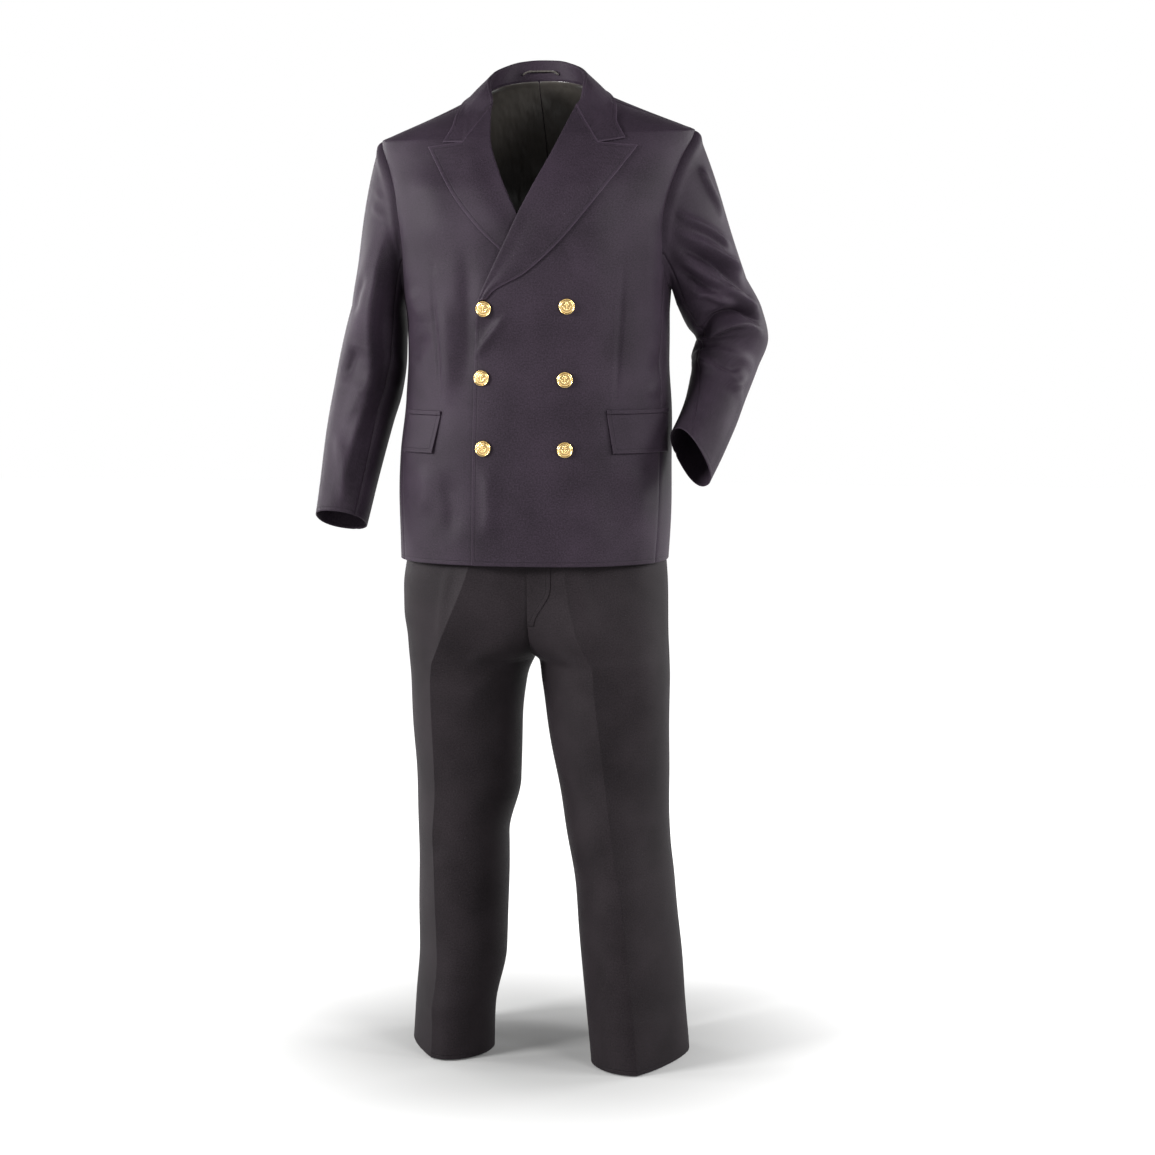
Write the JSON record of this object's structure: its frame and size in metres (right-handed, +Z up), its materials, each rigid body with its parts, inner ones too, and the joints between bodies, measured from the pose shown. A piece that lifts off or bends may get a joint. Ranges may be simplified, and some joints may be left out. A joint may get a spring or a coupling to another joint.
{
  "type": "naval dress uniform",
  "caption": "Naval dress uniform in worn form with no wearer: double-breasted jacket with peaked lapels, gilt buttons and flap pockets, over pleated straight trousers.",
  "frame": {"origin": "between the wearer's shoulders, level with the sides of the neck and in the middle of the body's depth, where the wearer carries the jacket", "axes": "+Z up along the body, the front faces -Y and the wearer's left is +X"},
  "size_m": [0.7017, 0.3089, 1.5718],
  "materials": {
    "jacket_twill": "matt wool twill, very dark navy",
    "trouser_twill": "matt wool twill, near black",
    "lining_satin": "dark satin with a soft sheen",
    "gilt_brass": "polished gilt"
  },
  "bodies": {
    "root": {"front_left": "jacket_twill", "front_right": "jacket_twill", "back_left": "jacket_twill", "back_right": "jacket_twill", "side_left": "jacket_twill", "side_right": "jacket_twill", "lapel_left": "jacket_twill", "lapel_right": "jacket_twill", "collar": "jacket_twill", "sleeve_top_left": "jacket_twill", "sleeve_top_right": "jacket_twill", "sleeve_under_left": "jacket_twill", "sleeve_under_right": "jacket_twill", "flap_left": "jacket_twill", "flap_right": "jacket_twill", "pocket_strip_left": "jacket_twill", "pocket_strip_right": "jacket_twill", "lining_back_left": "lining_satin", "lining_back_right": "lining_satin", "hanger_loop": "lining_satin", "button_top_left": "gilt_brass", "button_top_right": "gilt_brass", "button_middle_left": "gilt_brass", "button_middle_right": "gilt_brass", "button_low_left": "gilt_brass", "button_low_right": "gilt_brass", "trouser_front_left": "trouser_twill", "trouser_front_right": "trouser_twill", "trouser_back_left": "trouser_twill", "trouser_back_right": "trouser_twill", "waistband": "trouser_twill", "fly": "trouser_twill"}
  },
  "joints": []
}
